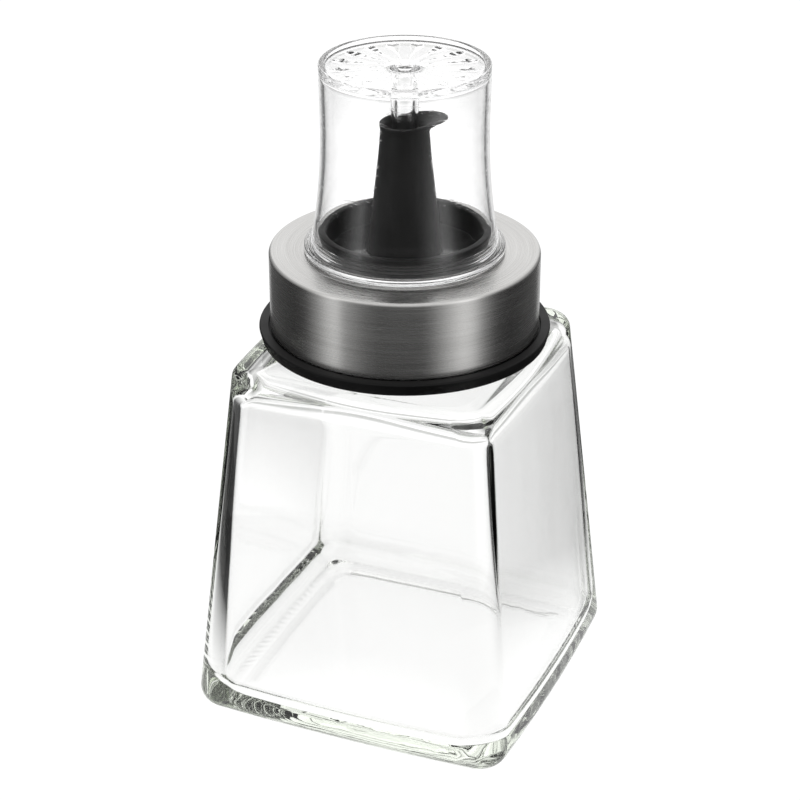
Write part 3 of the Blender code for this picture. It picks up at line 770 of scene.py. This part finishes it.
def cover_inner_rings(angles):
    """Foot recess, inner wall, ceiling and hollow stopper pin, ending on the axis."""
    low, top = COVER_LOW.z, COVER_HIGH.z
    under = top - RIM_HEIGHT - DISC_THICKNESS
    clear, above_tray = TRAY_RADIUS + GAP + 0.05 * MM, TRAY_RIM + GAP
    profile = [(clear + 0.9 * MM, low), (clear + 0.5 * MM, low + 0.1 * MM)]
    profile += [(clear, low + 0.6 * MM), (clear, above_tray)]
    for drop in np.linspace(32.5 * MM, 3.0 * MM, 34):
        profile.append((cover_radius(drop) - COVER_WALL, top - drop))
    corner, wall = 0.5 * MM, COVER_RIM_RADIUS - COVER_WALL
    profile += arc(wall - corner, under - corner, corner, 0, 90, 5)
    profile += [(radius, under) for radius in np.linspace(wall - 1.5 * MM, PIN_RADIUS + 1.6 * MM, 12)]
    profile += arc(PIN_RADIUS + 1.2 * MM, under - 1.2 * MM, 1.2 * MM, 90, 180, 6)
    tip = 0.4 * MM
    profile += [(PIN_RADIUS - 0.02 * MM, height)
                for height in np.linspace(under - 2 * MM, PIN_END + 1.2 * MM, 12)]
    profile += arc(PIN_RADIUS - tip - 0.05 * MM, PIN_END + tip, tip, 0, -90, 5)
    profile += arc(PIN_BORE + 0.35 * MM, PIN_END + 0.25 * MM, 0.25 * MM, 270, 180, 4)
    profile += [(PIN_BORE - 0.05 * MM, height)
                for height in np.linspace(PIN_END + 1.0 * MM, under - 2.0 * MM, 10)]
    profile += arc(PIN_BORE - 0.6 * MM, under - 1.15 * MM, 0.5 * MM, 0, 90, 5)
    return [polar(radius, height, angles) for radius, height in profile]


def make_cover():
    outside, angles = cover_outer_rings()
    top = COVER_HIGH.z - RIM_HEIGHT
    under = top - DISC_THICKNESS - 0.65 * MM
    cover = skin("clear_cover", outside + cover_inner_rings(angles), clear_plastic(),
                 (0, 0, top - 0.7 * MM), (0, 0, under), sharp=20)
    return place(cover, "cover", "clear_plastic", "dust_cover")


# ---------------------------------------------------------------- stage

class Lamp:
    """The node tree of an emitting surface or of the world, with short calls for its nodes."""

    def __init__(self, owner):
        owner.use_nodes = True
        self.tree = owner.node_tree
        self.tree.nodes.clear()
        path = self.node("ShaderNodeLightPath")
        self.camera = path.outputs["Is Camera Ray"]
        self.mirrored = self.math("MINIMUM", self.math(
            "ADD", path.outputs["Glossy Depth"], path.outputs["Diffuse Depth"]), 1.0)

    def node(self, kind, **settings):
        made = self.tree.nodes.new(kind)
        for key, value in settings.items():
            setattr(made, key, value)
        return made

    def link(self, output, target):
        self.tree.links.new(output, target)

    def math(self, operation, first, second):
        made = self.node("ShaderNodeMath", operation=operation)
        for socket, value in zip(made.inputs, (first, second)):
            if isinstance(value, float):
                socket.default_value = value
            else:
                self.link(value, socket)
        return made.outputs["Value"]

    def mix(self, factor, first, second):
        made = self.node("ShaderNodeMix")
        self.link(factor, made.inputs["Factor"])
        for socket, value in zip(("A", "B"), (first, second)):
            if isinstance(value, float):
                made.inputs[socket].default_value = value
            else:
                self.link(value, made.inputs[socket])
        return made.outputs["Result"]

    def remap(self, source, low, high, to_low, to_high):
        made = self.node("ShaderNodeMapRange")
        for socket, value in zip(("From Min", "From Max", "To Min", "To Max"), (low, high, to_low, to_high)):
            made.inputs[socket].default_value = value
        self.link(source, made.inputs["Value"])
        return made.outputs["Result"]

    def split(self, output):
        made = self.node("ShaderNodeSeparateXYZ")
        self.link(self.node("ShaderNodeTexCoord").outputs[output], made.inputs["Vector"])
        return made.outputs

    def round_light(self, axes, stops):
        """Light by the direction round the Z axis, in degrees to the right of the camera."""
        turn = self.math("ARCTAN2", axes["Y"], axes["X"])
        # The camera's side of the Z axis is a quarter turn before +X, and the ramp starts behind
        turns = self.math("DIVIDE", turn, math.tau)
        share = self.math("FRACT", self.math("ADD", turns, 1.75 - CAMERA_AZIMUTH / math.tau), 0.0)
        ramp = self.node("ShaderNodeValToRGB")
        row = ramp.color_ramp.elements
        while len(row) < len(stops):
            row.new(0.5)
        for element, (degrees, light) in zip(row, stops):
            element.position = (degrees + 180) / 360
            element.color = (light, light, light, 1)
        self.link(share, ramp.inputs["Fac"])
        return ramp.outputs["Color"]

    def finish(self, strength, solid=None, colour=None):
        """Emits the strength; where solid is below 1 the surface lets rays through."""
        glow = self.node("ShaderNodeEmission")
        if colour:
            self.link(colour, glow.inputs["Color"])
        self.link(strength, glow.inputs["Strength"])
        output = self.node("ShaderNodeOutputMaterial")
        if solid is None:
            self.link(glow.outputs["Emission"], output.inputs["Surface"])
            return
        mix = self.node("ShaderNodeMixShader")
        self.link(solid, mix.inputs["Fac"])
        self.link(self.node("ShaderNodeBsdfTransparent").outputs["BSDF"], mix.inputs[1])
        self.link(glow.outputs["Emission"], mix.inputs[2])
        self.link(mix.outputs["Shader"], output.inputs["Surface"])


def stand(name, mesh, look):
    look.cycles.emission_sampling = "NONE"
    mesh.materials.append(look)
    made = bpy.data.objects.new(name, mesh)
    SCENE.collection.objects.link(made)
    return made


def make_floor():
    """White to the camera; flagged and shaded through clear pieces; dim in mirrored light."""
    look = bpy.data.materials.new("pale_floor")
    lamp = Lamp(look)
    axes = lamp.split("Object")
    reach = lamp.node("ShaderNodeVectorMath", operation="LENGTH")
    lamp.link(lamp.node("ShaderNodeTexCoord").outputs["Object"], reach.inputs[0])
    reach = reach.outputs["Value"]
    near = lamp.math("MULTIPLY", lamp.remap(reach, 56 * MM, 84 * MM, 0, 1),
                     lamp.remap(reach, 170 * MM, 200 * MM, 1, 0))
    flagged = lamp.math("ADD", near, lamp.remap(reach, 450 * MM, 600 * MM, 0, 1))
    light = lamp.mix(flagged, 1.0, lamp.round_light(axes, FLAGS))
    level = lamp.remap(reach, 175 * MM, 215 * MM, THROUGH_GLASS, THROUGH_COVER)
    band = lamp.math("MULTIPLY", lamp.remap(reach, 330 * MM, 430 * MM, 0, 1),
                     lamp.remap(reach, 560 * MM, 700 * MM, 1, 0))
    behind = lamp.round_light(axes, BEHIND)
    level = lamp.math("MULTIPLY", level, lamp.mix(lamp.math("MULTIPLY", band, behind), 1.0, FAR_SHADE))
    through = lamp.math("MULTIPLY", light, level)
    around = lamp.math("MULTIPLY", lamp.round_light(axes, PANELS), 0.3)
    mirrored = lamp.mix(lamp.remap(reach, 50 * MM, 85 * MM, 0, 1), WHITE, around)
    unseen = lamp.mix(lamp.mirrored, through, mirrored)
    strength = lamp.mix(lamp.camera, unseen, WHITE)
    # Painted green: where the floor is dim to rays through clear pieces, its light turns to the flags' green
    tint = lamp.node("ShaderNodeValToRGB")
    for element, (place, colour) in zip(tint.color_ramp.elements, ((0.14, PAINTED_FLAG_GREEN), (0.75, (1, 1, 1)))):
        element.position = place
        element.color = (*colour, 1)
    lamp.link(lamp.mix(lamp.mirrored, strength, 1.0), tint.inputs["Fac"])
    lamp.finish(strength, colour=tint.outputs["Color"])
    bm = bmesh.new()
    bmesh.ops.create_circle(bm, cap_ends=True, segments=96, radius=FLOOR_RADIUS)
    mesh = bpy.data.meshes.new("floor")
    bm.to_mesh(mesh)
    bm.free()
    stand("floor", mesh, look).location.z = -0.05 * MM


def make_tent():
    """Studio panels round the object, which the camera never sees itself."""
    look = bpy.data.materials.new("studio_panels")
    lamp = Lamp(look)
    axes = lamp.split("Object")
    rise = lamp.remap(axes["Z"], 30 * MM, 150 * MM, 0.9, 1.6)
    panels = lamp.math("MULTIPLY", lamp.round_light(axes, PANELS), rise)
    high = lamp.remap(axes["Z"], 80 * MM, 290 * MM, 0, 1)
    lamp.finish(lamp.mix(high, panels, OVERHEAD), lamp.mirrored)
    angles = even_angles(128)
    low, high = polar(TENT_RADIUS, 0, angles), polar(TENT_RADIUS, TENT_HEIGHT, angles)
    mesh = bpy.data.meshes.new("studio_panels")
    mesh.from_pydata(np.concatenate([low, high]).tolist(), [], bridge((0, 128), (128, 128)))
    stand("studio_panels", mesh, look).visible_camera = False


def make_world():
    """White all round for the camera; mirrored, the same panels under a bright ceiling."""
    world = bpy.data.worlds.new("studio")
    lamp = Lamp(world)
    axes = lamp.split("Generated")
    panels = lamp.mix(lamp.remap(axes["Z"], 0.5, 0.8, 0, 1), lamp.round_light(axes, PANELS), OVERHEAD)
    panels = lamp.math("MULTIPLY", panels, SKY_SHARE)
    level = lamp.remap(lamp.math("ABSOLUTE", axes["Z"], 0.0), 0.1, 0.3, 1, 0)
    through = lamp.math("MULTIPLY", lamp.mix(level, 1.0, lamp.round_light(axes, FLAGS)), THROUGH_GLASS)
    strength = lamp.mix(lamp.camera, lamp.mix(lamp.mirrored, through, panels), WHITE)
    back = lamp.node("ShaderNodeBackground")
    back.inputs["Color"].default_value = (1, 1, 1, 1)
    lamp.link(strength, back.inputs["Strength"])
    lamp.link(back.outputs["Background"], lamp.node("ShaderNodeOutputWorld").inputs["Surface"])
    world.cycles.sampling_method = "NONE"
    SCENE.world = world


def make_camera():
    data = bpy.data.cameras.new("camera")
    data.lens = CAMERA_LENS
    data.sensor_width = 36
    data.clip_start, data.clip_end = 0.01, 20
    camera = bpy.data.objects.new("camera", data)
    camera.location = (
        CAMERA_DISTANCE * math.sin(CAMERA_AZIMUTH), -CAMERA_DISTANCE * math.cos(CAMERA_AZIMUTH),
        CAMERA_HEIGHT,
    )
    camera.rotation_euler = (math.pi / 2 - CAMERA_PITCH, 0, CAMERA_AZIMUTH + CAMERA_SWING)
    SCENE.collection.objects.link(camera)
    SCENE.camera = camera


def set_light_paths():
    SCENE.view_settings.view_transform = "Standard"
    SCENE.cycles.max_bounces = 24
    SCENE.cycles.transmission_bounces = 24
    SCENE.cycles.glossy_bounces = 24
    SCENE.cycles.transparent_max_bounces = 24


make_camera()
make_world()
make_floor()
make_tent()
set_light_paths()
black = black_plastic()
make_bottle()
make_liner()
make_cap(black)
make_shell()
make_spout(black)
make_cover()
